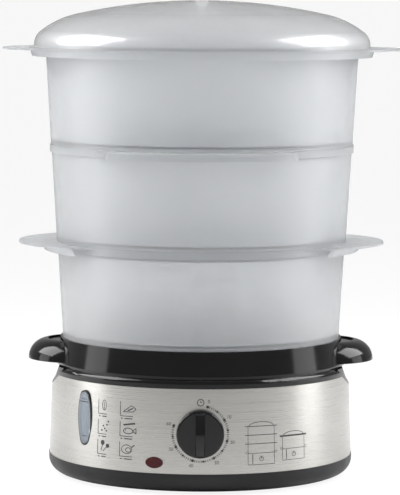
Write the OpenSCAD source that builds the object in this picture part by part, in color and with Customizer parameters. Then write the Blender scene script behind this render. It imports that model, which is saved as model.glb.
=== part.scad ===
// Three-tier electric food steamer: a round base with a water tank and a
// timer, a drip tray, three stacking baskets and a domed lid.
// Millimetres, +Z up, controls towards -Y, origin in the middle of the
// surface that the steamer stands on.

/* [Base housing] */
// Outside diameter of the black band at the foot of the base
band_d = 248.8; // [246:0.2:256]
// Height of the top of the band above the surface
band_top = 17; // [15:0.5:20]
// Radius of the band's rounded lower edge
band_round = 12; // [8:0.5:13]
// Wall thickness of the housings
shell_t = 2.6; // [2.2:0.1:3]
// How far the feet hold the housing off the surface
foot_h = 1.6; // [1.6:0.1:3]
// Diameter of a rubber foot
foot_d = 16; // [12:0.5:20]
// Diameter of the cover that closes the base from below
cover_d = 204; // [196:1:206]
// Thickness of the bottom cover
cover_t = 2.2; // [1.8:0.1:2.6]
// Width of the inner ledge that the bottom cover lies against
ledge_w = 16; // [14:0.5:20]
// Radius of the circle of screws that hold the base together
screw_circle_r = 94; // [92:0.5:95]
// Width of a cooling slot in the bottom cover
vent_w = 3; // [2:0.5:4]
// Length of a cooling slot
vent_l = 60; // [50:1:64]
// Number of cooling slots in the bottom cover
vent_count = 9; // [3:2:11]

/* [Metal sleeve] */
// Height of the sleeve's top edge above the surface
sleeve_top = 84; // [83:0.5:86]
// How far the sleeve stands back from the band at its lower edge
sleeve_step = 0.4; // [0.2:0.1:0.8]
// How much the sleeve's radius shrinks from its lower to its top edge
sleeve_taper = 2.4; // [1.5:0.1:3]
// Thickness of the stainless sheet
sleeve_t = 0.8; // [0.5:0.1:1]

/* [Water tank] */
// Height of the tank floor's upper face above the surface
tank_floor = 38; // [36:0.5:40]
// Width of the black shoulder, from the sleeve's top edge in to the mouth
shoulder_w = 8.2; // [7.6:0.1:8.8]
// How far the tank wall stands in from the mouth that the drip tray sits in
mouth_step = 2.8; // [2.4:0.1:4]
// How much the tank's radius shrinks from its mouth to its floor
tank_taper = 3.6; // [3:0.1:6]
// Radius of the corner between tank floor and wall
tank_round = 10; // [6:0.5:14]
// Height of the black shoulder above the sleeve
shoulder_h = 7; // [6:0.5:9]
// Distance from the middle to the flat wall behind the controls
flat_y = 84; // [82:0.5:86]
// Height of the shelf of the tank over the controls
shelf_z = 76; // [74:0.5:77]
// Half the width of a finger recess under a tray handle
recess_half_w = 40; // [30:1:46]
// Depth of a finger recess below the sleeve's top edge
recess_drop = 10; // [6:0.5:12]
// Slope of the flat face in a finger recess, from upright
recess_slope = 19.8; // [16:0.2:21]

/* [Heater] */
// Radius of the opening for the heater in the tank floor
heater_hole_r = 30; // [28:0.5:32]
// Radius of the stainless heater plate
heater_plate_r = 38; // [37:0.5:40]
// Thickness of the heater's silicone gasket
gasket_t = 1; // [0.6:0.1:1.4]
// Thickness of the heater plate
plate_t = 1.2; // [0.8:0.1:1.6]
// Height of the cast heating element
element_h = 8; // [7:0.5:9]
// Radius of the coiled heating tube
coil_r = 18; // [17:0.5:18.5]
// Radius of the tube itself
coil_tube_r = 4.2; // [3.6:0.1:4.4]
// Thickness of the clamp ring
clamp_t = 2.6; // [2:0.1:3]
// Radius of the circle of clamp screws
clamp_screw_r = 46; // [45:0.5:48]
// Outside radius of the loose steam ring round the heater
steam_ring_r = 45; // [43:0.5:47]
// Height of the steam ring
steam_ring_h = 38; // [34:0.5:38]

/* [Controls] */
// Height of the timer's axis above the surface
timer_z = 49; // [48:0.5:50]
// Width and height of the clockwork timer
timer_w = 42; // [38:0.5:44]
// Depth of the clockwork timer
timer_depth = 22; // [20:0.5:24]
// Diameter of the timer's shaft
shaft_d = 6; // [5:0.1:6.5]
// Diameter of the timer knob
knob_d = 37.7; // [34:0.1:42]
// Thickness of the knob's disc
knob_disc_t = 5; // [4:0.5:7]
// Height of the knob over its grip
knob_h = 15.5; // [13:0.5:18]
// Width of the knob's grip
knob_grip_w = 7.4; // [6:0.2:9]
// Gap between the metal sleeve and the knob
knob_gap = 0.9; // [0.6:0.1:1.5]
// Running clearance of the timer shaft in its bush, on the radius
shaft_clearance = 0.05; // [0.03:0.01:0.09]
// Angle of the lamp from the front, to the left
lamp_angle = 17; // [15:0.5:20]
// Height of the lamp above the surface
lamp_z = 25.5; // [25:0.5:28]
// Width of the lamp's lens
lamp_w = 14.2; // [12:0.2:16]
// Height of the lamp's lens
lamp_h = 8.8; // [8:0.2:9.6]
// Angle of the water gauge from the front, to the left
gauge_angle = 48.6; // [48.6:0.2:52]
// Height of the middle of the water gauge
gauge_z = 55.5; // [55:0.5:56]
// Width of the water gauge
gauge_w = 17; // [14:0.5:17]
// Height of the water gauge
gauge_h = 44; // [36:1:44]

/* [Mains inlet] */
// Height of the cord inlet at the back
gland_z = 28; // [28:0.5:32]
// Width of the inlet's eight-sided body, across its flats
gland_d = 15.6; // [14:0.2:16]
// Diameter of the hole for the cord
gland_bore_d = 7.4; // [6:0.2:8]

/* [Drip tray] */
// Height of the tray from the shoulder of the base to its rim
tray_h = 21.5; // [20:0.5:24]
// How far the tray's foot stands out over the mouth of the tank
tray_ledge = 4.8; // [4:0.1:5.2]
// How much the tray's radius shrinks from its foot to its rim
tray_lean = 3.2; // [2.4:0.1:3.8]
// Wall thickness of the tray
tray_t = 2.4; // [2:0.1:2.8]
// Depth of the tray's collar in the mouth of the tank
tray_spigot = 7; // [5:0.5:7]
// Inside radius of the steam chimney
chimney_r = 44; // [40:0.5:48]
// Height of the chimney above the tray's floor
chimney_h = 16; // [12:0.5:17]
// Distance from the middle to the tip of a tray handle
tray_handle_tip = 141.5; // [139:0.5:144]
// Radius of a tray handle, seen from above
tray_handle_r = 44; // [42:0.5:46]
// Radius of the rounded outer edge of a tray handle
tray_handle_round = 16; // [14:0.5:18]

/* [Baskets] */
// Height of one basket, from seat to seat
basket_h = 78.7; // [70:0.1:85]
// Wall thickness of the baskets
basket_t = 2.2; // [1.8:0.1:2.6]
// How far the lower basket's rim stands out beyond the rim of the tray
lower_step = 2.6; // [1.4:0.1:3]
// How much wider the middle basket is than the lower one, on the radius
middle_step = 5.2; // [5:0.1:6.4]
// How much wider the upper basket is than the middle one, on the radius
upper_step = 4.8; // [4.7:0.1:6]
// How much a basket's radius shrinks from its rim to its seat
basket_taper = 4.5; // [3.5:0.1:4.6]
// Depth of the part of a basket that stands in the mouth below
spigot_h = 8; // [6:0.5:8]
// Clearance round that part, on the radius
spigot_clearance = 0.6; // [0.4:0.1:0.9]
// Thickness of a basket's floor
floor_t = 2; // [1.6:0.1:2.6]
// Width of a steam slot in a basket's floor
slot_w = 3.4; // [2.5:0.1:3.8]
// Length of a steam slot
slot_l = 13; // [8:0.5:15]
// Distance from one ring of slots to the next
slot_pitch = 20; // [18:0.5:22]
// Thickness of the flat wings that serve as handles
wing_t = 1.8; // [1.4:0.1:2.4]
// How far a wing reaches beyond its basket's wall
wing_reach = 31.5; // [28:0.5:35]
// Radius of a wing's outline, seen from above
wing_round = 85; // [75:1:95]
// Radius of the blend between a wing and the rim
wing_blend = 45; // [30:1:60]
// Height of the stiffening band round a basket's rim
rim_band_h = 7; // [5:0.5:9]
// How far that band stands proud of the wall
rim_band_t = 1.3; // [1:0.1:2]
// Distance from the wall to the outside of the skirt under a wing
skirt_out = 12.5; // [11.5:0.5:14]
// How much the skirt leans in towards its lower edge
skirt_lean = 1.6; // [0:0.1:2.4]

/* [Lid] */
// How far the lid's upright edge stands out beyond the upper basket's wall
lid_overhang = 9.4; // [8.9:0.1:10.4]
// Height of the lid
lid_h = 38.4; // [36:0.2:42]
// Wall thickness of the lid
lid_t = 2.2; // [1.8:0.1:2.6]
// Radius of the lid's flat crown
crown_r = 469; // [440:1:520]
// Radius of the lid's shoulder
lid_shoulder_r = 73; // [60:1:80]
// Radius of the turn from shoulder to upright edge
lid_turn_r = 14; // [10:0.5:16]
// Angle over which the crown runs, from the axis
crown_angle = 12.6; // [11.5:0.1:12.8]
// Height of the bead inside the lid's edge
lid_bead_h = 2.4; // [1.5:0.1:3]

/* [Hidden] */
$fn = 96;

// Clearances between pieces that are fitted together and stay still
fit = 0.15;
screw_fit = 0.05;
// Longer than anything it has to cut through
far = 400;

black = [0.06, 0.06, 0.065];
steel = [0.78, 0.77, 0.74];
milky = [0.85, 0.87, 0.88, 0.6];
rubber = [0.12, 0.12, 0.12];
zinc = [0.7, 0.71, 0.72];

// ---- Derived sizes of the base
band_r = band_d / 2;
sleeve_foot_r = band_r - sleeve_step;
function sleeve_r(z) = sleeve_foot_r - sleeve_taper * (z - band_top) / (sleeve_top - band_top);
mouth_r = sleeve_foot_r - sleeve_taper - shoulder_w;
tank_wall_r = mouth_r - mouth_step;
tank_floor_r = tank_wall_r - tank_taper;
lining_gap = sleeve_t + fit;
lining_t = 2.4;
skirt_z = sleeve_top - recess_drop - 3;
cover_r = cover_d / 2;
cover_top = foot_h + cover_t;
ledge_z = cover_top + 0.1;
ledge_top = ledge_z + 2.5;
ledge_r = cover_r + 0.3 - ledge_w;
shoulder_top = sleeve_top + shoulder_h;
shoulder_round = 3.5;
post_r = 4.5;
screw_angles = [30, 150, 210, 330];
screw_r = 1.95;
screw_hole_r = screw_r + 0.25;
screw_l = 12.5;
foot_circle_r = 81;
foot_angles = [45, 135, 225, 315];
foot_stud_r = 3;

// ---- Derived sizes of the heater
tank_under = tank_floor - shell_t;
plate_z = tank_floor + gasket_t;
element_z = plate_z - element_h;
clamp_z = element_z - clamp_t;
element_r = heater_hole_r - 2.2;
clamp_angles = [90, 210, 330];
clamp_post_r = 4.5;

// ---- Derived sizes of the controls
timer_front = sleeve_r(timer_z) - 9.5;
timer_flange_t = 1.6;
timer_screw_x = 25;
panel_front = sleeve_r(timer_z);
knob_back = panel_front + knob_gap;
shaft_r = shaft_d / 2;
shaft_flat = shaft_r * 0.7;
shaft_tip = knob_back + 9;
bush_r = shaft_r + 2;
gauge_back = tank_wall_r + shell_t + 0.2;
gauge_seal_t = 1.5;
gauge_rim = 1.1;
gauge_lip = 2.8;
terminal_post_r = 3.2;
terminal_post_h = 11;
tab_w = 4.8;
tab_l = 7;

// ---- Derived sizes of the tray and the baskets
tray_foot_r = mouth_r + tray_ledge;
tray_rim_r = tray_foot_r - tray_lean;
lower_rim_r = tray_rim_r + lower_step;
middle_rim_r = lower_rim_r + middle_step;
upper_rim_r = middle_rim_r + upper_step;
lid_r = upper_rim_r + lid_overhang;
tray_floor = shoulder_top - tray_spigot;
tray_top = shoulder_top + tray_h;
tray_mouth_r = tray_rim_r - 4.6;
tray_spigot_r = mouth_r - 0.5;
handle_axis_x = tray_handle_tip - tray_handle_r;
handle_foot = tray_top - 2.4 - tray_handle_round;

// Each basket: outside radius at its rim, radius of the mouth it stands in,
// turn about the axis, and outside radius of its flange away from the wings
lower = [lower_rim_r, tray_mouth_r, 0, lower_rim_r + rim_band_t];
middle = [middle_rim_r, lower_rim_r - basket_t, 90, middle_rim_r + rim_band_t];
upper = [upper_rim_r, middle_rim_r - basket_t, 0, lid_r + 3.2];
draft = basket_taper / basket_h;
lid_z = tray_top + 3 * basket_h;

// ---------------------------------------------------------------- helpers

// Draws its children on the panel: local +Z points out of the panel, +Y is
// up, and angle turns from the front to the left
module on_panel(angle, z) {
    rotate([0, 0, -angle]) translate([0, 0, z]) rotate([90, 0, 0]) children();
}

module ring(outer, inner, z0, z1) {
    translate([0, 0, z0]) difference() {
        cylinder(r = outer, h = z1 - z0);
        translate([0, 0, -1]) cylinder(r = inner, h = z1 - z0 + 2);
    }
}

module disc(radius, z0, z1) {
    translate([0, 0, z0]) cylinder(r = radius, h = z1 - z0);
}

module around(angles, radius) {
    for (a = angles) rotate([0, 0, a]) translate([radius, 0, 0]) children();
}

// A layer that follows the sleeve, from one depth below its face to another
module sleeve_layer(outer_depth, inner_depth, z0, z1) {
    rotate_extrude() polygon([
        [sleeve_r(z0) - inner_depth, z0], [sleeve_r(z0) - outer_depth, z0],
        [sleeve_r(z1) - outer_depth, z1], [sleeve_r(z1) - inner_depth, z1]
    ]);
}

// A rectangle from the axis outwards, with its lower outer corner rounded
module rounded_foot(radius, height, round_r) {
    difference() {
        union() {
            square([radius - round_r, height]);
            translate([0, round_r]) square([radius, height - round_r]);
            translate([radius - round_r, round_r]) circle(round_r);
        }
        translate([0, height]) square([radius, 2 * round_r]);
    }
}

// An oval of two flat arcs between two round ends
module oval(width, height) {
    end_r = height * 0.34;
    a = width / 2 - end_r;
    smooth_r = (a * a + height * height / 4 - end_r * end_r) / (height - 2 * end_r);
    join_angle = atan((smooth_r - height / 2) / a) + 5;
    join = [a + end_r * cos(join_angle), end_r * sin(join_angle)];
    sag = height / 2 - join[1];
    side_r = (join[0] * join[0] + sag * sag) / (2 * sag);
    for (side = [-1, 1]) translate([side * a, 0]) circle(end_r);
    intersection() {
        translate([0, side_r - height / 2]) circle(side_r, $fn = 180);
        translate([0, height / 2 - side_r]) circle(side_r, $fn = 180);
        square([2 * join[0] + end_r * 0.1, height + 1], center = true);
    }
}

// The water gauge's outline, drawn in from its outer edge on every side
module gauge_outline(inset) {
    rotate(90) oval(gauge_h - 2 * inset, gauge_w - 2 * inset);
}

// An eight-sided neck keeps the cord inlet from turning
module gland_outline(across) {
    intersection() {
        square(across, center = true);
        rotate(45) square(across, center = true);
    }
}

// ---------------------------------------------------------------- housing

module panel_holes() {
    on_panel(0, timer_z) cylinder(r = bush_r + 0.4, h = far);
    on_panel(lamp_angle, lamp_z) linear_extrude(far) oval(lamp_w + 2 * fit, lamp_h + 2 * fit);
    on_panel(gauge_angle, gauge_z) linear_extrude(far) gauge_outline(-fit);
    on_panel(180, gland_z) linear_extrude(far) gland_outline(gland_d + 2 * fit);
}

module base_shell() {
    height = band_top - foot_h;
    color(black) difference() {
        union() {
            rotate_extrude() difference() {
                union() {
                    translate([0, foot_h]) difference() {
                        rounded_foot(band_r, height, band_round);
                        translate([0, shell_t])
                            rounded_foot(band_r - shell_t, height, band_round - shell_t);
                    }
                    translate([ledge_r, ledge_z])
                        square([band_r - shell_t - ledge_r - 4, ledge_top - ledge_z]);
                    polygon([
                        [sleeve_r(band_top) - lining_gap - lining_t, band_top],
                        [sleeve_r(band_top) - lining_gap - lining_t, band_top - 4],
                        [sleeve_r(band_top) - lining_gap, band_top - 4],
                        [sleeve_r(band_top) - lining_gap, band_top],
                        [sleeve_r(skirt_z) - lining_gap, skirt_z - 0.2],
                        [sleeve_r(skirt_z) - lining_gap - lining_t, skirt_z - 0.2]
                    ]);
                }
                square([cover_r + 0.3, ledge_z]);
                square([ledge_r, ledge_top + 1]);
            }
            intersection() {
                for (side = [-1, 1]) on_panel(0, timer_z) translate([side * timer_screw_x, 0, timer_front])
                    cylinder(r = 4, h = 8);
                disc(sleeve_r(timer_z) - lining_gap - 1, 0, sleeve_top);
            }
        }
        panel_holes();
        around(screw_angles, screw_circle_r) disc(screw_hole_r, 0, band_top);
        for (side = [-1, 1]) on_panel(0, timer_z)
            translate([side * timer_screw_x, 0, timer_front - 1]) cylinder(r = 1.4 + screw_fit, h = 5.2);
    }
}

module bottom_cover() {
    color(black) difference() {
        disc(cover_r, foot_h, cover_top);
        around(screw_angles, screw_circle_r) disc(screw_hole_r, 0, far);
        around(foot_angles, foot_circle_r) disc(foot_stud_r + screw_fit, 0, far);
        for (i = [-(vent_count - 1) / 2 : (vent_count - 1) / 2])
            translate([-vent_l / 2, i * 3 * vent_w - vent_w / 2, 0]) cube([vent_l, vent_w, far]);
    }
}

module rubber_feet() {
    color(rubber) around(foot_angles, foot_circle_r) {
        translate([0, 0, 0.6]) cylinder(d = foot_d, h = foot_h - 0.6);
        cylinder(d1 = foot_d - 1.2, d2 = foot_d, h = 0.6);
        disc(foot_stud_r, foot_h - 0.2, cover_top + 0.1);
        disc(foot_stud_r + 0.7, cover_top + 0.1, cover_top + 1.2);
    }
}

module pan_head_screw(radius, length, head_r, head_h) {
    translate([0, 0, -0.3]) cylinder(r = radius, h = length + 0.3);
    translate([0, 0, -head_h]) difference() {
        cylinder(r = head_r, h = head_h);
        for (turn = [0, 90]) rotate([0, 0, turn])
            translate([-head_r * 0.6, -0.45, -1]) cube([head_r * 1.2, 0.9, 1 + head_h * 0.55]);
    }
}

module bottom_screws() {
    color(zinc) around(screw_angles, screw_circle_r)
        translate([0, 0, foot_h]) pan_head_screw(screw_r, screw_l, 3.7, 1.35);
}

// The outline, along X, of the dip in the sleeve over a finger recess
module recess_dip(extra) {
    dip_r = (recess_half_w * recess_half_w + recess_drop * recess_drop) / (2 * recess_drop);
    translate([0, 0, sleeve_top - recess_drop + dip_r]) rotate([0, 90, 0])
        cylinder(r = dip_r + extra, h = far, $fn = 240);
}

// Everything beyond the flat face of the recess on the +X side
module beyond_recess(inset) {
    translate([sleeve_r(sleeve_top - recess_drop) - 0.9 - inset, -far / 2, sleeve_top - recess_drop])
        rotate([0, -recess_slope, 0]) translate([0, 0, -sleeve_top / 2]) cube([far, far, far]);
}

module metal_sleeve() {
    color(steel) difference() {
        sleeve_layer(0, sleeve_t, band_top, sleeve_top);
        panel_holes();
        for (side = [0, 1]) mirror([side, 0, 0]) recess_dip(fit);
    }
}

// ------------------------------------------------------------- water tank

// Half of the tank's hollow, from the axis outwards, grown by a wall
module tank_hollow(wall) {
    round_r = tank_round + wall;
    top = shelf_z + shell_t + 1;
    difference() {
        polygon([
            [0, tank_floor - wall], [tank_floor_r + wall, tank_floor - wall],
            [tank_floor_r + wall, tank_floor + tank_round], [tank_wall_r + wall, top], [0, top]
        ]);
        translate([tank_floor_r - tank_round, tank_floor + tank_round]) difference() {
            translate([0, -round_r - 1]) square(round_r + 1);
            circle(round_r);
        }
    }
}

// What is left of the tank behind the flat wall, and all of it over the shelf
module behind_controls(inset) {
    translate([-far / 2, inset - flat_y, 0]) cube([far, far, far]);
    translate([-far / 2, -far / 2, shelf_z + inset]) cube([far, far, far]);
}

module shoulder_profile() {
    outer = sleeve_r(sleeve_top);
    skirt_top_r = sleeve_r(sleeve_top) - lining_gap;
    skirt_foot_r = sleeve_r(skirt_z) - lining_gap;
    web_z = shelf_z + 0.6;
    difference() {
        polygon([
            [tank_wall_r, web_z], [mouth_r + shell_t, web_z], [mouth_r + shell_t, shoulder_top - shell_t],
            [skirt_top_r - 2.2, shoulder_top - shell_t], [skirt_foot_r - 2.2, skirt_z],
            [skirt_foot_r, skirt_z], [skirt_top_r, sleeve_top], [outer, sleeve_top],
            [outer, shoulder_top], [mouth_r, shoulder_top], [mouth_r, web_z + shell_t],
            [tank_wall_r, web_z + shell_t]
        ]);
        translate([outer - shoulder_round, shoulder_top - shoulder_round]) difference() {
            square(shoulder_round + 1);
            circle(shoulder_round);
        }
    }
}

module recess_faces() {
    for (side = [0, 1]) mirror([side, 0, 0]) difference() {
        intersection() {
            rotate_extrude() polygon([
                [mouth_r, skirt_z], [sleeve_r(skirt_z), skirt_z], [sleeve_r(sleeve_top), sleeve_top],
                [sleeve_r(sleeve_top), shoulder_top], [mouth_r, shoulder_top]
            ]);
            recess_dip(0);
        }
        beyond_recess(0);
        difference() {
            rotate_extrude() translate([mouth_r + shell_t, 0]) square([20, shoulder_top - shell_t]);
            beyond_recess(shell_t);
        }
    }
}

module water_tank() {
    color(black) difference() {
        union() {
            intersection() {
                rotate_extrude() tank_hollow(shell_t);
                behind_controls(0);
            }
            difference() {
                rotate_extrude() shoulder_profile();
                for (side = [0, 1]) mirror([side, 0, 0]) intersection() {
                    beyond_recess(0);
                    disc(far, sleeve_top - recess_drop, far);
                }
            }
            recess_faces();
            around(screw_angles, screw_circle_r) disc(post_r, ledge_top + 0.1, tank_under + 0.6);
            around(clamp_angles, clamp_screw_r) disc(clamp_post_r, element_z, tank_under + 0.6);
        }
        intersection() {
            rotate_extrude() tank_hollow(0);
            behind_controls(shell_t);
        }
        disc(tank_wall_r, shelf_z + shell_t, far);
        disc(heater_hole_r, 0, tank_floor + 1);
        around(screw_angles, screw_circle_r) disc(screw_r + screw_fit, 0, foot_h + screw_l + 0.5);
        around(clamp_angles, clamp_screw_r) disc(screw_r + screw_fit, 0, element_z + 3.2);
        on_panel(gauge_angle, gauge_z) translate([0, 0, flat_y])
            linear_extrude(gauge_back - flat_y + 1) gauge_outline(gauge_lip + 1.5);
        intersection() {
            on_panel(gauge_angle, gauge_z) linear_extrude(far) gauge_outline(-fit);
            rotate_extrude() translate([gauge_back - 0.05, 0]) square([far, sleeve_top]);
        }
    }
}

// ----------------------------------------------------------------- heater

module heater_gasket() {
    color([0.75, 0.3, 0.2]) ring(heater_plate_r - 0.6, heater_hole_r + 0.2, tank_floor, plate_z);
}

module heater_plate() {
    rise = 3;
    dome_r = (element_r * element_r + rise * rise) / (2 * rise);
    color(steel) {
        disc(heater_plate_r, plate_z, plate_z + plate_t);
        ring(heater_hole_r - 0.4, heater_hole_r - 1.6, element_z + 3, plate_z + 0.2);
        intersection() {
            translate([0, 0, plate_z + plate_t + rise - dome_r]) sphere(dome_r, $fn = 180);
            disc(element_r, plate_z + plate_t, plate_z + plate_t + rise);
        }
    }
}

module heating_element() {
    color([0.72, 0.72, 0.74]) difference() {
        union() {
            disc(element_r, element_z, plate_z);
            rotate_extrude() translate([coil_r, element_z + 0.6]) circle(coil_tube_r);
            for (a = [255, 285]) rotate([0, 0, a]) translate([coil_r, 0, element_z - terminal_post_h]) {
                cylinder(r = terminal_post_r, h = terminal_post_h + element_h / 8);
                translate([-tab_w / 10, -tab_w / 2, -tab_l]) cube([tab_w / 5, tab_w, tab_l + terminal_post_h / 8]);
            }
        }
        disc(9.2, element_z - 1, element_z + 1);
    }
}

module heater_clamp() {
    color(zinc) difference() {
        union() {
            disc(heater_plate_r + 2, clamp_z, element_z);
            for (a = clamp_angles) rotate([0, 0, a]) {
                translate([clamp_screw_r, 0, clamp_z]) cylinder(r = 5.5, h = clamp_t);
                translate([heater_plate_r - 4, -5.5, clamp_z]) cube([clamp_screw_r - heater_plate_r + 4, 11, clamp_t]);
            }
        }
        disc(coil_r + coil_tube_r + 0.8, 0, far);
        around(clamp_angles, clamp_screw_r) disc(screw_r + 0.2, 0, far);
    }
}

module heater_screws() {
    color(zinc) around(clamp_angles, clamp_screw_r)
        translate([0, 0, clamp_z]) pan_head_screw(screw_r, clamp_t + 3, 3.7, 2.2);
}

module thermostat() {
    color([0.2, 0.2, 0.22]) {
        disc(8.6, element_z - 1.6, element_z + 1);
        disc(7.2, element_z - 7, element_z - 1.5);
        for (side = [-1, 1]) translate([side * 4 - 0.4, -2.4, element_z - 14]) cube([0.8, 4.8, 8]);
    }
}

module thermal_fuse() {
    y = heater_plate_r - 7;
    color([0.8, 0.8, 0.76]) {
        translate([-6, y, clamp_z - 2.4]) rotate([0, 90, 0]) cylinder(r = 2.1, h = 12);
        translate([-14, y, clamp_z - 2.4]) rotate([0, 90, 0]) cylinder(r = 0.6, h = 28);
    }
    color(zinc) translate([-3.5, y, clamp_z]) difference() {
        translate([0, -3.4, -5.6]) cube([7, 6.8, 5.5]);
        translate([-1, 0, -2.4]) rotate([0, 90, 0]) cylinder(r = 2.1 + screw_fit, h = 9);
        translate([-1, -4, -8]) cube([9, 3, 6.6]);
    }
}

module steam_ring() {
    wall = 2;
    top = tank_floor + steam_ring_h;
    color(black) difference() {
        union() {
            ring(steam_ring_r, steam_ring_r - wall, tank_floor, top);
            ring(steam_ring_r, steam_ring_r - wall - 4, top - wall, top);
            ring(steam_ring_r + 1.2, steam_ring_r - 0.5, top - 5, top - 3.4);
        }
        for (a = [45 : 90 : 315]) rotate([0, 0, a]) {
            translate([0, -5, tank_floor - 1]) cube([far, 10, 7]);
            translate([0, 0, tank_floor + 6]) rotate([0, 90, 0]) cylinder(r = 5, h = far);
        }
    }
}

// --------------------------------------------------------------- controls

module timer_module() {
    flange_back = timer_front - timer_flange_t;
    color([0.85, 0.84, 0.8]) on_panel(0, timer_z) difference() {
        union() {
            translate([-timer_w / 2, -timer_w / 2, flange_back - timer_depth])
                cube([timer_w, timer_w, timer_depth + timer_flange_t]);
            translate([-timer_screw_x - 5, -9, flange_back]) cube([2 * timer_screw_x + 10, 18, timer_flange_t]);
            translate([0, 0, timer_front - 2]) cylinder(r = bush_r, h = panel_front + 0.4 - timer_front);
            translate([-8, -8, flange_back - timer_depth - 1.2]) cube([16, 16, 1.4]);
            for (x = [-12, 12]) translate([x - 0.4, 10, flange_back - timer_depth - 4.5]) cube([0.8, 6, 5]);
        }
        translate([0, 0, flange_back - timer_depth / 2])
            cylinder(r = shaft_r + shaft_clearance, h = timer_depth + 10);
        for (side = [-1, 1]) translate([side * timer_screw_x, 0, flange_back - 1])
            cylinder(r = 1.6, h = timer_flange_t + 2);
    }
}

module timer_screws() {
    color(zinc) for (side = [-1, 1]) on_panel(0, timer_z)
        translate([side * timer_screw_x, 0, timer_front - timer_flange_t])
            pan_head_screw(1.4, timer_flange_t + 3.8, 2.8, 1.8);
}

// A round bar with a flat along its front end; grow is a clearance
module d_shaft(from, flat_from, to, grow) {
    difference() {
        translate([0, 0, from]) cylinder(r = shaft_r + grow, h = to - from);
        translate([-shaft_r - 1, shaft_flat + grow, flat_from]) cube([2 * shaft_r + 2, shaft_r, to]);
    }
}

module timer_shaft() {
    color(zinc) on_panel(0, timer_z)
        d_shaft(timer_front - timer_flange_t - timer_depth / 2 + 0.3, knob_back - 0.5, shaft_tip, 0);
}

module timer_knob() {
    grip_rise = knob_h - knob_disc_t;
    crown = (knob_d * knob_d / 4 + grip_rise * grip_rise) / (2 * grip_rise);
    color(black) on_panel(0, timer_z) translate([0, 0, knob_back]) difference() {
        union() {
            rotate_extrude() difference() {
                translate([0, knob_disc_t]) mirror([0, 1]) rounded_foot(knob_d / 2, knob_disc_t, 1.8);
                translate([knob_d / 2 - 12, -1]) square([10, 2.4]);
            }
            intersection() {
                cylinder(r = knob_d / 2 - 0.6, h = knob_h);
                translate([0, 0, knob_h - crown]) rotate([90, 0, 0]) sphere(crown, $fn = 180);
                difference() {
                    translate([-knob_grip_w / 2, -knob_d / 2, knob_disc_t - 1])
                        cube([knob_grip_w, knob_d, knob_h]);
                    for (side = [-1, 1]) translate([side * (knob_grip_w / 2 + 21.4), knob_d, knob_disc_t + 6])
                        rotate([90, 0, 0]) cylinder(r = 22, h = 2 * knob_d, $fn = 180);
                }
            }
        }
        d_shaft(-1, -2, shaft_tip - knob_back + 0.5, 0.03);
    }
}

module lamp_lens() {
    color([0.35, 0.05, 0.08]) {
        intersection() {
            on_panel(lamp_angle, lamp_z) linear_extrude(far) oval(lamp_w, lamp_h);
            sleeve_layer(-0.8, lining_gap + lining_t + 2, lamp_z - lamp_h, lamp_z + lamp_h);
        }
        intersection() {
            on_panel(lamp_angle, lamp_z) linear_extrude(far) oval(lamp_w + 3, lamp_h + 3);
            sleeve_layer(lining_gap + lining_t + 0.1, lining_gap + lining_t + 2, lamp_z - lamp_h, lamp_z + lamp_h);
        }
    }
}

module neon_lamp() {
    lens_back = sleeve_r(lamp_z) - lining_gap - lining_t - 2;
    color([0.9, 0.85, 0.75]) on_panel(lamp_angle, lamp_z) {
        translate([0, 0, lens_back - 15]) cylinder(r = 3, h = 11.7);
        translate([0, 0, lens_back - 3.3]) sphere(3);
    }
    color(black) on_panel(lamp_angle, lamp_z) translate([0, 0, lens_back - 16]) difference() {
        cylinder(r = 4.2, h = 15.7);
        translate([0, 0, 1]) cylinder(r = 3, h = 20);
    }
}

module gauge_window() {
    skin = sleeve_r(gauge_z);
    color([0.7, 0.78, 0.86, 0.5]) difference() {
        intersection() {
            on_panel(gauge_angle, gauge_z) linear_extrude(far) gauge_outline(gauge_rim + screw_fit);
            rotate_extrude() translate([gauge_back + gauge_seal_t, 0])
                square([skin + 0.9 - gauge_back - gauge_seal_t, sleeve_top]);
        }
        on_panel(gauge_angle, gauge_z) linear_extrude(skin - 2.4) gauge_outline(gauge_lip);
    }
}

module gauge_gasket() {
    color(rubber) difference() {
        intersection() {
            on_panel(gauge_angle, gauge_z) linear_extrude(far) gauge_outline(0);
            rotate_extrude() translate([gauge_back, 0])
                square([sleeve_r(gauge_z) + 0.5 - gauge_back, sleeve_top]);
        }
        intersection() {
            on_panel(gauge_angle, gauge_z) linear_extrude(far) gauge_outline(gauge_rim);
            rotate_extrude() translate([gauge_back + gauge_seal_t, 0]) square([far, sleeve_top]);
        }
        on_panel(gauge_angle, gauge_z) linear_extrude(far) gauge_outline(gauge_lip);
    }
}

module cord_gland() {
    outside = sleeve_r(band_top) + 0.05;
    inner = outside - lining_gap - lining_t - 4;
    color(black) on_panel(180, gland_z) difference() {
        union() {
            translate([0, 0, inner]) linear_extrude(outside + 1 - inner) gland_outline(gland_d);
            translate([0, 0, outside]) cylinder(d = gland_d + 4, h = 1.6);
            translate([0, 0, outside + 1.5]) cylinder(d1 = gland_d + 3, d2 = gland_d - 3, h = 4);
            translate([0, 0, inner]) cylinder(d = gland_d + 3, h = 1.6);
        }
        translate([0, 0, inner - 1]) cylinder(d = gland_bore_d, h = 40);
    }
}

module terminal_block() {
    color([0.9, 0.9, 0.86]) translate([0, ledge_r + 8, ledge_top]) difference() {
        union() {
            translate([-19, -7, 0]) cube([38, 14, 8]);
            for (i = [-1 : 1]) translate([i * 12 - 5, -5, 0]) cube([10, 10, 13]);
        }
        for (i = [-1 : 1]) translate([i * 12, 0, 5]) {
            cylinder(r = 2.2, h = 20);
            translate([0, 20, 0]) rotate([90, 0, 0]) cylinder(r = 2, h = 40);
        }
    }
}

// -------------------------------------------------------------- drip tray

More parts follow.
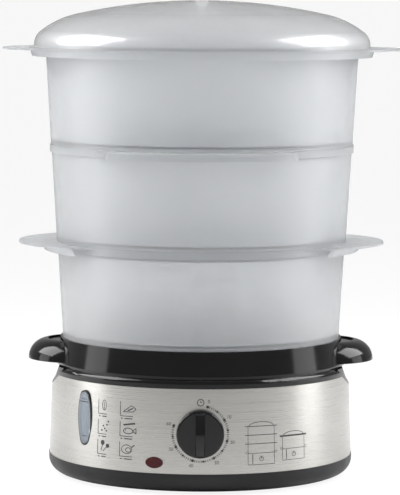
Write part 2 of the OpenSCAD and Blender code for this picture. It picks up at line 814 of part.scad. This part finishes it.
module tray_handle() {
    translate([handle_axis_x, 0, handle_foot]) difference() {
        rotate_extrude() difference() {
            translate([tray_handle_r - tray_handle_round, 0]) union() {
                circle(tray_handle_round);
                translate([tray_handle_round - tray_handle_r, 0])
                    square([tray_handle_r - tray_handle_round, tray_handle_round]);
            }
            translate([tray_handle_r - tray_handle_round, 0]) union() {
                circle(tray_handle_round - tray_t);
                translate([tray_handle_round - tray_handle_r, -1])
                    square([tray_handle_r - tray_handle_round, tray_handle_round - tray_t + 1]);
            }
            translate([-far, -far]) square([far, 2 * far]);
            translate([0, -far]) square([far, far]);
        }
        translate([0, 0, tray_handle_round - tray_t / 2]) cylinder(r = tray_handle_r - tray_handle_round, h = 5);
    }
}

module drip_tray() {
    inner_foot_r = tray_foot_r - tray_t;
    color(black) difference() {
        union() {
            rotate_extrude() difference() {
                polygon([
                    [0, tray_floor], [tray_spigot_r, tray_floor], [tray_spigot_r, shoulder_top],
                    [tray_foot_r, shoulder_top], [tray_foot_r, shoulder_top + 2], [tray_rim_r, tray_top],
                    [0, tray_top]
                ]);
                polygon([
                    [0, tray_floor + tray_t], [tray_spigot_r - tray_t, tray_floor + tray_t],
                    [tray_spigot_r - tray_t, shoulder_top + tray_t],
                    [inner_foot_r - 1, shoulder_top + tray_t + 2], [tray_mouth_r, tray_top - 6],
                    [tray_mouth_r, tray_top + 1], [0, tray_top + 1]
                ]);
            }
            disc(chimney_r + tray_t, tray_floor, tray_floor + chimney_h);
            disc(chimney_r - 4, tray_floor + chimney_h - 0.1, tray_floor + chimney_h + 1.8);
            for (side = [0, 1]) mirror([side, 0, 0]) difference() {
                tray_handle();
                disc(tray_rim_r - 1, 0, far);
            }
        }
        disc(chimney_r, tray_floor - 1, tray_floor + chimney_h - tray_t);
        for (a = [0 : 30 : 330]) rotate([0, 0, a])
            translate([14, -slot_w / 2, tray_floor]) cube([chimney_r - 20, slot_w, far]);
    }
}

// ---------------------------------------------------------------- baskets

// The flat outline of a rim with a wing to each side
module wing_outline(flange_r, tip) {
    c = tip - wing_round;
    from_ring = flange_r + wing_blend;
    from_wing = wing_round + wing_blend;
    blend_x = (from_ring * from_ring - from_wing * from_wing + c * c) / (2 * c);
    blend_y = sqrt(from_ring * from_ring - blend_x * blend_x);
    circle(flange_r, $fn = 180);
    for (side = [0, 1]) mirror([side, 0]) {
        translate([c, 0]) circle(wing_round, $fn = 180);
        difference() {
            polygon([[0, 0], [blend_x, blend_y], [c, 0], [blend_x, -blend_y]]);
            for (end = [-1, 1]) translate([blend_x, end * blend_y]) circle(wing_blend);
        }
    }
}

// Rings of radial slots
module steam_slots(floor_r) {
    rings = floor((floor_r - slot_l - 4) / slot_pitch);
    for (k = [1 : rings]) {
        count = 6 * k;
        for (i = [0 : count - 1]) rotate([0, 0, (i + (k % 2) / 2) * 360 / count])
            translate([k * slot_pitch - slot_l / 2 + 2, 0, 0]) {
                translate([0, -slot_w / 2, 0]) cube([slot_l, slot_w, far]);
                for (end = [0, slot_l]) translate([end, 0, 0]) cylinder(r = slot_w / 2, h = far);
            }
    }
}

// A basket with its seat at height 0
module basket(sizes) {
    rim_r = sizes[0];
    seat_r = rim_r - basket_taper;
    plug_r = sizes[1] - spigot_clearance;
    plug_foot_r = plug_r - draft * spigot_h;
    flange_r = sizes[3];
    wide = flange_r > rim_r + skirt_out / 2;
    skirt_r = wide ? flange_r : rim_r + skirt_out;
    tip = rim_r + wing_reach + (wide ? 3.5 : 0);
    color(milky) difference() {
        union() {
            rotate_extrude() polygon([
                [0, -spigot_h], [plug_foot_r, -spigot_h], [plug_r, 0], [seat_r, 0], [rim_r, basket_h], [0, basket_h]
            ]);
            rotate_extrude() polygon([
                [rim_r - 4, basket_h - rim_band_h], [rim_r + rim_band_t, basket_h - rim_band_h + 1],
                [rim_r + rim_band_t, basket_h], [rim_r - 4, basket_h]
            ]);
            rotate([0, 0, sizes[2]]) translate([0, 0, basket_h - wing_t])
                linear_extrude(wing_t) wing_outline(flange_r, tip);
            rotate([0, 0, sizes[2]]) intersection() {
                rotate_extrude() polygon([
                    [skirt_r - 2.2 - skirt_lean, basket_h - rim_band_h], [skirt_r - skirt_lean, basket_h - rim_band_h],
                    [skirt_r, basket_h - wing_t], [skirt_r, basket_h - 0.1], [skirt_r - 2.2, basket_h - 0.1],
                    [skirt_r - 2.2, basket_h - wing_t]
                ]);
                translate([0, 0, basket_h - rim_band_h]) linear_extrude(rim_band_h) wing_outline(flange_r, tip);
            }
            if (wide) ring(lid_r - lid_t - 0.6, lid_r - lid_t - 2.4, basket_h - 0.1, basket_h + lid_bead_h);
        }
        rotate_extrude() polygon([
            [0, floor_t - spigot_h], [plug_foot_r - basket_t, floor_t - spigot_h],
            [plug_r - basket_t, floor_t], [seat_r - basket_t + draft * floor_t, floor_t + 2],
            [rim_r - basket_t, basket_h], [rim_r - basket_t, basket_h + 1], [0, basket_h + 1]
        ]);
        translate([0, 0, -spigot_h - 1]) steam_slots(plug_foot_r);
    }
}

module lower_basket() {
    translate([0, 0, tray_top]) basket(lower);
}

module middle_basket() {
    translate([0, 0, tray_top + basket_h]) basket(middle);
}

module upper_basket() {
    translate([0, 0, tray_top + 2 * basket_h]) basket(upper);
}

// -------------------------------------------------------------------- lid

function polar(r, angle) = [r * sin(angle), r * cos(angle)];

// Half of the dome, from the axis outwards: three arcs that meet smoothly,
// each made smaller by an inset
module dome_half(inset) {
    crown_c = [0, lid_h - crown_r];
    shoulder_c = crown_c + polar(crown_r - lid_shoulder_r, crown_angle);
    turn_x = lid_r - lid_turn_r;
    turn_angle = asin((turn_x - shoulder_c[0]) / (lid_shoulder_r - lid_turn_r));
    turn_z = shoulder_c[1] + (lid_shoulder_r - lid_turn_r) * cos(turn_angle);
    turn_r = lid_turn_r - inset;
    difference() {
        union() {
            intersection() {
                translate(crown_c) circle(crown_r - inset, $fn = 360);
                polygon([crown_c, crown_c + [0, far * 2], crown_c + polar(far * 2, crown_angle)]);
            }
            intersection() {
                translate(shoulder_c) circle(lid_shoulder_r - inset, $fn = 180);
                polygon([shoulder_c, shoulder_c + polar(far, crown_angle - 1), shoulder_c + polar(far, turn_angle)]);
            }
            translate([0, turn_z + turn_r]) mirror([0, 1]) rounded_foot(lid_r - inset, turn_z + turn_r, turn_r);
        }
        translate([0, -far * 2]) square([far, far * 2]);
        translate([0, lid_h - inset - 0.01]) square([far, 1]);
    }
}

module lid() {
    color(milky) translate([0, 0, lid_z]) rotate_extrude() difference() {
        dome_half(0);
        dome_half(lid_t);
        translate([0, -1]) square([lid_r - lid_t, 1.5]);
    }
}

base_shell();
bottom_cover();
rubber_feet();
bottom_screws();
metal_sleeve();
water_tank();
heater_gasket();
heater_plate();
heating_element();
heater_clamp();
heater_screws();
thermostat();
thermal_fuse();
steam_ring();
timer_module();
timer_screws();
timer_shaft();
timer_knob();
lamp_lens();
neon_lamp();
gauge_window();
gauge_gasket();
cord_gland();
terminal_block();
drip_tray();
lower_basket();
middle_basket();
upper_basket();
lid();
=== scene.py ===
import math

import bmesh
import bpy
from mathutils import Matrix, Vector


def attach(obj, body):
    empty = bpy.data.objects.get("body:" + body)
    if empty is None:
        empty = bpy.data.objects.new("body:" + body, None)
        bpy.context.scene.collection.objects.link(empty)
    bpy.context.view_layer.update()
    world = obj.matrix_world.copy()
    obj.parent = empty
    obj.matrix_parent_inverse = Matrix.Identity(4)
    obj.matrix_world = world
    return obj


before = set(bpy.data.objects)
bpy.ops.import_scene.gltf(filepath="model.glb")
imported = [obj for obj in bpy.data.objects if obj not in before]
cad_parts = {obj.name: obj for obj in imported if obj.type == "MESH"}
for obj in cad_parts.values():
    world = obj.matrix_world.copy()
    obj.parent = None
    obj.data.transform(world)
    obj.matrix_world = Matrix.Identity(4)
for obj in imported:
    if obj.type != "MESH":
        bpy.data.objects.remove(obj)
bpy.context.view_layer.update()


# ---------------------------------------------------------------- materials

def start(name):
    """A new material with one Principled shader."""
    material = bpy.data.materials.new(name)
    material.use_nodes = True
    tree = material.node_tree
    tree.nodes.clear()
    out = tree.nodes.new("ShaderNodeOutputMaterial")
    shader = tree.nodes.new("ShaderNodeBsdfPrincipled")
    tree.links.new(shader.outputs[0], out.inputs["Surface"])
    return material, tree, shader


def noise(tree, scale, detail=3.0, stretch=(1, 1, 1), rough=0.5):
    """Noise in the object's own coordinates, in metres."""
    place = tree.nodes.new("ShaderNodeTexCoord")
    mapping = tree.nodes.new("ShaderNodeMapping")
    mapping.inputs["Scale"].default_value = stretch
    made = tree.nodes.new("ShaderNodeTexNoise")
    made.inputs["Scale"].default_value = scale
    made.inputs["Detail"].default_value = detail
    made.inputs["Roughness"].default_value = rough
    tree.links.new(place.outputs["Object"], mapping.inputs["Vector"])
    tree.links.new(mapping.outputs["Vector"], made.inputs["Vector"])
    return made.outputs[0]


def spread(tree, value, low, high, lo_in=0.3, hi_in=0.7):
    made = tree.nodes.new("ShaderNodeMapRange")
    made.inputs["From Min"].default_value = lo_in
    made.inputs["From Max"].default_value = hi_in
    made.inputs["To Min"].default_value = low
    made.inputs["To Max"].default_value = high
    tree.links.new(value, made.inputs["Value"])
    return made.outputs[0]


def tint(tree, value, a, b):
    ramp = tree.nodes.new("ShaderNodeValToRGB")
    ramp.color_ramp.elements[0].position = 0.3
    ramp.color_ramp.elements[1].position = 0.7
    ramp.color_ramp.elements[0].color = (*a, 1)
    ramp.color_ramp.elements[1].color = (*b, 1)
    tree.links.new(value, ramp.inputs["Fac"])
    return ramp.outputs["Color"]


def bump(tree, shader, value, strength, distance):
    made = tree.nodes.new("ShaderNodeBump")
    made.inputs["Strength"].default_value = strength
    made.inputs["Distance"].default_value = distance
    tree.links.new(value, made.inputs["Height"])
    tree.links.new(made.outputs["Normal"], shader.inputs["Normal"])


def plastic(name, colour, lighter, roughness, grain=900, grain_depth=0.00002, specular=0.5):
    material, tree, shader = start(name)
    tree.links.new(tint(tree, noise(tree, 30), colour, lighter), shader.inputs["Base Color"])
    tree.links.new(
        spread(tree, noise(tree, 60, 5), roughness * 0.85, roughness * 1.2), shader.inputs["Roughness"]
    )
    shader.inputs["Specular IOR Level"].default_value = specular
    bump(tree, shader, noise(tree, grain, 2), 0.25, grain_depth)
    return material


def metal(name, colour, lighter, roughness, stretch, grain=60, grain_depth=0.00002, cast=0.0):
    material, tree, shader = start(name)
    shader.inputs["Metallic"].default_value = 1.0
    tree.links.new(tint(tree, noise(tree, grain, 4, stretch), colour, lighter), shader.inputs["Base Color"])
    tree.links.new(
        spread(tree, noise(tree, grain, 6, stretch), roughness * 0.8, roughness * 1.25),
        shader.inputs["Roughness"],
    )
    bump(tree, shader, noise(tree, grain * (1 + 6 * cast), 3, stretch), 0.3, grain_depth)
    return material


def clear(name, colour, lighter, roughness, transmission, ior=1.5, coat=0.0, coat_rough=0.05):
    material, tree, shader = start(name)
    tree.links.new(tint(tree, noise(tree, 25), colour, lighter), shader.inputs["Base Color"])
    tree.links.new(
        spread(tree, noise(tree, 80, 4), roughness * 0.85, roughness * 1.2), shader.inputs["Roughness"]
    )
    shader.inputs["Transmission Weight"].default_value = transmission
    shader.inputs["IOR"].default_value = ior
    shader.inputs["Coat Weight"].default_value = coat
    shader.inputs["Coat Roughness"].default_value = coat_rough
    return material


milky = clear("milky plastic", (0.83, 0.845, 0.86), (0.86, 0.872, 0.885), 0.40, 0.87)
milky_gloss = clear(
    "milky gloss plastic", (0.83, 0.842, 0.855), (0.86, 0.872, 0.885), 0.38, 0.82, coat=1.0, coat_rough=0.04
)
black_gloss = plastic(
    "black gloss plastic", (0.004, 0.004, 0.0045), (0.006, 0.006, 0.0065), 0.12, 140, 0.00001, 0.3
)
black_satin = plastic(
    "black satin plastic", (0.010, 0.010, 0.011), (0.014, 0.014, 0.0155), 0.42, specular=0.25
)
brushed = metal(
    "brushed steel", (0.405, 0.398, 0.378), (0.465, 0.457, 0.437), 0.29, (0.25, 0.25, 34), 60, 0.00001
)
plain_steel = metal("plain steel", (0.55, 0.54, 0.53), (0.65, 0.64, 0.62), 0.3, (1, 1, 1))
zinc = metal("zinc plate", (0.50, 0.51, 0.52), (0.62, 0.63, 0.62), 0.38, (1, 1, 1))
cast = metal("cast aluminium", (0.45, 0.45, 0.46), (0.58, 0.58, 0.59), 0.55, (1, 1, 1), 120, 0.0001, 1.0)
silicone = plastic("red silicone", (0.40, 0.08, 0.05), (0.46, 0.10, 0.06), 0.55)
rubber = plastic("black rubber", (0.018, 0.018, 0.018), (0.028, 0.028, 0.027), 0.7, 1400, 0.00004)
ivory = plastic("ivory plastic", (0.62, 0.58, 0.48), (0.68, 0.64, 0.54), 0.45)
red_lens = clear("red lens", (0.060, 0.006, 0.008), (0.090, 0.008, 0.011), 0.16, 0.30, 1.3)
neon_glass = clear("lamp glass", (0.90, 0.82, 0.74), (0.94, 0.88, 0.80), 0.05, 0.9)
gauge_clear = clear("gauge plastic", (0.58, 0.66, 0.76), (0.64, 0.72, 0.80), 0.08, 0.80)
ink = plastic("dark print", (0.020, 0.020, 0.022), (0.030, 0.030, 0.032), 0.5)

LOOKS = {
    "base_shell": black_satin,
    "bottom_cover": black_satin,
    "rubber_feet": rubber,
    "bottom_screws": zinc,
    "metal_sleeve": brushed,
    "water_tank": black_gloss,
    "heater_gasket": silicone,
    "heater_plate": plain_steel,
    "heating_element": cast,
    "heater_clamp": zinc,
    "heater_screws": zinc,
    "thermostat": black_satin,
    "thermal_fuse": zinc,
    "steam_ring": black_satin,
    "timer_module": ivory,
    "timer_screws": zinc,
    "timer_shaft": zinc,
    "timer_knob": black_gloss,
    "lamp_lens": red_lens,
    "neon_lamp": neon_glass,
    "gauge_window": gauge_clear,
    "gauge_gasket": rubber,
    "cord_gland": rubber,
    "terminal_block": ivory,
    "drip_tray": black_gloss,
    "lower_basket": milky,
    "middle_basket": milky,
    "upper_basket": milky,
    "lid": milky_gloss,
}
for name, look in LOOKS.items():
    mesh = bpy.data.objects[name].data
    mesh.materials.clear()
    mesh.materials.append(look)


# ------------------------------------------------------------ printed marks

# The steel's outside radius at its foot, how much it narrows, and its height;
# the radius that the marks are laid out on, and how far they stand off
SLEEVE_FOOT_R = 0.1240
SLEEVE_TAPER = 0.0024
SLEEVE_FOOT_Z = 0.017
SLEEVE_HEIGHT = 0.067
PRINT_R = 0.1228
LIFT = 0.00006


def on_sleeve(x, y, left_deg, z0, proud):
    """A flat point, x to the right and y up in metres, laid on the steel or,
    where proud isn't 0, on an upright face so far before it at height z0."""
    z = z0 + y
    r = SLEEVE_FOOT_R - SLEEVE_TAPER * ((z0 if proud else z) - SLEEVE_FOOT_Z) / SLEEVE_HEIGHT + LIFT + proud
    turn = math.radians(-left_deg) + x / PRINT_R
    return Vector((r * math.sin(turn), -r * math.cos(turn), z))


class Print:
    """Flat marks in millimetres that end up as one piece on the sleeve."""

    def __init__(self, name, left_deg, z0, proud=0.0):
        self.name, self.left, self.z0, self.proud = name, left_deg, z0, proud
        self.verts, self.faces = [], []

    def patch(self, points):
        first = len(self.verts)
        self.verts += points
        self.faces.append(tuple(range(first, first + len(points))))

    def dot(self, x, y, r, sides=20):
        turns = [2 * math.pi * i / sides for i in range(sides)]
        self.patch([(x + r * math.cos(t), y + r * math.sin(t)) for t in turns])

    def bar(self, x0, y0, x1, y1, width):
        length = math.hypot(x1 - x0, y1 - y0)
        nx, ny = -(y1 - y0) / length * width / 2, (x1 - x0) / length * width / 2
        steps = max(1, math.ceil(abs(x1 - x0) / 2))
        for i in range(steps):
            a, b = i / steps, (i + 1) / steps
            ax, ay = x0 + (x1 - x0) * a, y0 + (y1 - y0) * a
            bx, by = x0 + (x1 - x0) * b, y0 + (y1 - y0) * b
            self.patch([(ax + nx, ay + ny), (ax - nx, ay - ny), (bx - nx, by - ny), (bx + nx, by + ny)])

    def path(self, points, width):
        for (x0, y0), (x1, y1) in zip(points, points[1:]):
            self.bar(x0, y0, x1, y1, width)

    def arc(self, x, y, rx, ry, a0, a1, width, steps=20):
        turns = [math.radians(a0 + (a1 - a0) * i / steps) for i in range(steps + 1)]
        self.path([(x + rx * math.cos(t), y + ry * math.sin(t)) for t in turns], width)

    def number(self, text, x, y, height):
        curve = bpy.data.curves.new("number", "FONT")
        curve.body = text
        curve.size = height * 1.35
        curve.align_x = "CENTER"
        curve.align_y = "CENTER"
        thing = bpy.data.objects.new("number", curve)
        bpy.context.scene.collection.objects.link(thing)
        bpy.context.view_layer.update()
        mesh = bpy.data.meshes.new_from_object(thing.evaluated_get(bpy.context.evaluated_depsgraph_get()))
        first = len(self.verts)
        self.verts += [(x + v.co.x, y + v.co.y) for v in mesh.vertices]
        self.faces += [tuple(first + i for i in p.vertices) for p in mesh.polygons]
        bpy.data.objects.remove(thing)
        bpy.data.curves.remove(curve)
        bpy.data.meshes.remove(mesh)

    def make(self):
        mesh = bpy.data.meshes.new(self.name)
        mesh.from_pydata(
            [on_sleeve(x / 1000, y / 1000, self.left, self.z0, self.proud) for x, y in self.verts],
            [],
            self.faces,
        )
        thing = bpy.data.objects.new(self.name, mesh)
        bpy.context.scene.collection.objects.link(thing)
        mesh.materials.append(ink)
        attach(thing, "base")
        return thing


# The dial: a dot for every 5 minutes, four ticks between two dots, and a
# number at every second dot
DIAL_START_DEG = 14.9
DIAL_STEP_DEG = 22.625
DIAL_STEPS = 12
TICKS = 5
DOT_RING_R = 21.9
TICK_IN_R, TICK_OUT_R = 21.0, 22.8
NUMBER_RING_R = 26.2

dial = Print("dial_print", 0, 0.049)
for i in range(DIAL_STEPS + 1):
    a = math.radians(DIAL_START_DEG + DIAL_STEP_DEG * i)
    numbered = i % 2 == 0
    dial.dot(DOT_RING_R * math.sin(a), DOT_RING_R * math.cos(a), 1.15 if numbered else 0.95)
    if i < DIAL_STEPS:
        for k in range(1, TICKS):
            b = a + math.radians(DIAL_STEP_DEG * k / TICKS)
            sin_b, cos_b = math.sin(b), math.cos(b)
            dial.bar(TICK_IN_R * sin_b, TICK_IN_R * cos_b, TICK_OUT_R * sin_b, TICK_OUT_R * cos_b, 0.6)
    if numbered:
        dial.number(str(i * 5), NUMBER_RING_R * math.sin(a), NUMBER_RING_R * math.cos(a), 2.8)
dial.arc(0.2, 24.6, 2.6, 2.6, 0, 360, 0.65, 32)
dial.path([(0.2, 26.2), (0.2, 24.6), (1.3, 24.6)], 0.55)
dial.make()

# The gauge's level marks
gauge_marks = Print("gauge_print", 48.6, 0.0555, 0.0009)
gauge_marks.bar(-5.6, 12.9, 5.6, 12.9, 0.7)
gauge_marks.bar(-3.0, 15.0, 3.0, 15.0, 0.5)
gauge_marks.bar(-3.4, -14.5, 3.4, -14.5, 0.5)
gauge_marks.make()

# Plain food signs in two columns of three, each in a corner frame with a
# dash and a bar under it
foods = Print("food_signs", 37.8, 0.0555)
FRAME_H = 11.5
ROW_PITCH = 16
TOP_ROW_Y = 5.1


def leaf(p, x, y):
    p.arc(x + 6, y + 7, 2.0, 4.0, 0, 360, 0.5, 24)
    p.bar(x + 6, y + 3, x + 6, y + 9.4, 0.4)


def peas(p, x, y):
    for dx, dy in ((4, 3), (7, 4.4), (5.4, 6.6), (9.2, 7.6), (8.6, 2.8), (10.4, 10.2)):
        p.dot(x + dx, y + dy, 0.75)


def sprout(p, x, y):
    p.dot(x + 5.2, y + 9.2, 2.0)
    p.dot(x + 10.2, y + 7.0, 1.7)
    p.bar(x + 5.2, y + 8, x + 3.6, y + 2.6, 0.7)
    p.bar(x + 9.4, y + 6.2, x + 5.6, y + 2.4, 0.6)


def wedge(p, x, y):
    corners = [(2.6, 3.4), (10, 8.6), (14, 6.2), (11.8, 3.6), (2.6, 3.4)]
    p.path([(x + dx, y + dy) for dx, dy in corners], 0.6)
    p.bar(x + 6.8, y + 4.4, x + 11.6, y + 6.6, 0.9)


def fish(p, x, y):
    p.arc(x + 7.4, y + 4.4, 4.2, 2.2, 0, 360, 0.7, 28)
    tail = [(11.4, 4.4), (14.4, 6.8), (14.4, 2.4), (11.4, 4.4)]
    p.path([(x + dx, y + dy) for dx, dy in tail], 0.6)
    p.dot(x + 5.2, y + 5.0, 0.5)
    p.bar(x + 3.2, y + 9.0, x + 13.6, y + 10.6, 1.3)


def roast(p, x, y):
    p.arc(x + 6.4, y + 5.8, 4.6, 3.4, 0, 360, 0.55, 28)
    p.arc(x + 7.8, y + 5.4, 2.3, 1.8, 0, 360, 0.55, 22)
    p.bar(x + 10.4, y + 7.4, x + 13.4, y + 9.4, 0.9)


for left, signs in ((-7.5, (leaf, peas, sprout)), (14.4, (wedge, fish, roast))):
    for row, sign in enumerate(signs):
        foot = TOP_ROW_Y - ROW_PITCH * row
        wide = left + (9.0 if left < 0 else FRAME_H)
        foods.bar(left, foot, left, foot + FRAME_H, 0.55)
        foods.bar(left, foot, wide, foot, 0.55)
        foods.bar(left + 0.6, foot - 1.9, left + 2.2, foot - 1.9, 0.8)
        foods.bar(left + 4.0, foot - 1.9, wide - 0.4, foot - 1.9, 0.8)
        sign(foods, left, foot)
foods.make()

# Two plain line drawings of the appliance, with three baskets and with one
stack = Print("stack_signs", -30.6, 0.0445)


def outline(p, x, y, levels, half, deep, bold):
    """A base 9 mm high and twice half wide, with so many baskets, each deep."""
    p.path([(x - half, y), (x - half, y + 9.0), (x + half, y + 9.0), (x + half, y), (x - half, y)], 0.4)
    p.bar(x - half * 0.66, y + 0.6, x - half * 0.66, y + 8.4, 0.6)
    p.arc(x, y + 4.4, 1.7, 1.7, 0, 360, 0.4, 20)
    p.bar(x, y + 4.4, x, y + 6.8, 0.45)
    for side in (-1, 1):
        p.arc(x + side * (half + 0.9), y + 9.6, 1.1, 0.8, 0, 360, 0.3, 14)
        p.bar(x + side * half, y + 9.0, x + side * half, y + 9.6 + levels * deep, 0.4)
    for level in range(1, levels + 1):
        p.bar(x - half * 1.22, y + 9.6 + level * deep, x + half * 1.22, y + 9.6 + level * deep, bold)
    p.arc(x, y + 9.8 + levels * deep, half * 0.92, 3.2, 0, 180, 0.5, 20)


outline(stack, -16.2, -20.7, 3, 11.3, 6.9, 0.55)
outline(stack, 13.5, -18.8, 1, 10.9, 9.6, 1.3)
stack.make()


# ------------------------------------------------------------ floor, lights

def area(name, place, target, width, height, watts):
    """A white soft box that the camera doesn't see."""
    light = bpy.data.lights.new(name, "AREA")
    light.shape = "RECTANGLE"
    light.size, light.size_y = width, height
    light.energy = watts
    thing = bpy.data.objects.new(name, light)
    bpy.context.scene.collection.objects.link(thing)
    thing.location = place
    thing.rotation_euler = (Vector(target) - Vector(place)).to_track_quat("-Z", "Y").to_euler()
    thing.visible_camera = False


# A high box and a dim low one to each side, and a narrow strip behind that
# draws the thin highlight on the lid
for side, name in ((-1, "left"), (1, "right")):
    area(name + " box", (side * 1.0, 0.02, 0.90), (0, 0, 0.36), 0.95, 0.85, 21)
    area(name + " low box", (side * 1.0, -0.04, 0.20), (0, 0, 0.10), 0.42, 0.40, 1.35)
area("back strip", (0, 1.4, 0.80), (0, 0, 0.38), 0.02, 0.75, 0.014)


def seen_directly(tree):
    """1 for a ray from the camera or one that came through a clear piece."""
    path = tree.nodes.new("ShaderNodeLightPath")
    made = tree.nodes.new("ShaderNodeMath")
    made.operation = "MAXIMUM"
    tree.links.new(path.outputs["Is Camera Ray"], made.inputs[0])
    tree.links.new(path.outputs["Is Transmission Ray"], made.inputs[1])
    return made.outputs[0]


def mixed(tree, share, first, second):
    made = tree.nodes.new("ShaderNodeMixShader")
    tree.links.new(share, made.inputs[0])
    tree.links.new(first, made.inputs[1])
    tree.links.new(second, made.inputs[2])
    return made.outputs[0]


def background(tree, level):
    made = tree.nodes.new("ShaderNodeBackground")
    made.inputs["Color"].default_value = (level, level, level, 1)
    return made.outputs[0]


WORLD_LIGHT = 0.35
FLOOR_HALF = 60
FLOOR_GLOW = 1.04
FLOOR_GLOW_SHARE = 0.85

world = bpy.data.worlds.new("studio")
bpy.context.scene.world = world
world.use_nodes = True
tree = world.node_tree
tree.nodes.clear()
out = tree.nodes.new("ShaderNodeOutputWorld")
surface = mixed(tree, seen_directly(tree), background(tree, WORLD_LIGHT), background(tree, 1))
tree.links.new(surface, out.inputs["Surface"])

corners = [(-1, -1), (1, -1), (1, 1), (-1, 1)]
floor_mesh = bpy.data.meshes.new("floor")
floor_mesh.from_pydata([(FLOOR_HALF * x, FLOOR_HALF * y, 0) for x, y in corners], [], [(0, 1, 2, 3)])
floor = bpy.data.objects.new("floor", floor_mesh)
bpy.context.scene.collection.objects.link(floor)
floor_look, tree, shader = start("pale floor")
pale = tint(tree, noise(tree, 3), (0.90, 0.90, 0.90), (0.92, 0.92, 0.92))
tree.links.new(pale, shader.inputs["Base Color"])
shader.inputs["Roughness"].default_value = 0.6
share = tree.nodes.new("ShaderNodeMath")
share.operation = "MULTIPLY"
share.inputs[1].default_value = FLOOR_GLOW_SHARE
tree.links.new(seen_directly(tree), share.inputs[0])
glow = tree.nodes.new("ShaderNodeEmission")
glow.inputs["Color"].default_value = (1, 1, 1, 1)
glow.inputs["Strength"].default_value = FLOOR_GLOW
surface = mixed(tree, share.outputs[0], shader.outputs[0], glow.outputs[0])
tree.links.new(surface, tree.nodes["Material Output"].inputs["Surface"])
floor_mesh.materials.append(floor_look)

# ------------------------------------------------------------------- camera

ELEVATION = math.radians(5.1)
DISTANCE = 2.5
ROLL = math.radians(0.3)
AIM = Vector((-0.001, 0, 0.1848))
cam = bpy.data.cameras.new("camera")
cam.sensor_width = 36
cam.sensor_fit = "AUTO"
cam.lens = 221.7
cam.clip_start, cam.clip_end = 0.05, 50
camera = bpy.data.objects.new("camera", cam)
bpy.context.scene.collection.objects.link(camera)
back = Vector((0, -math.cos(ELEVATION), math.sin(ELEVATION)))
camera.location = AIM + back * DISTANCE
camera.rotation_euler = (
    (-back).to_track_quat("-Z", "Y").to_matrix() @ Matrix.Rotation(ROLL, 3, "Z")
).to_euler()
bpy.context.scene.camera = camera
bpy.context.scene.view_settings.view_transform = "Standard"
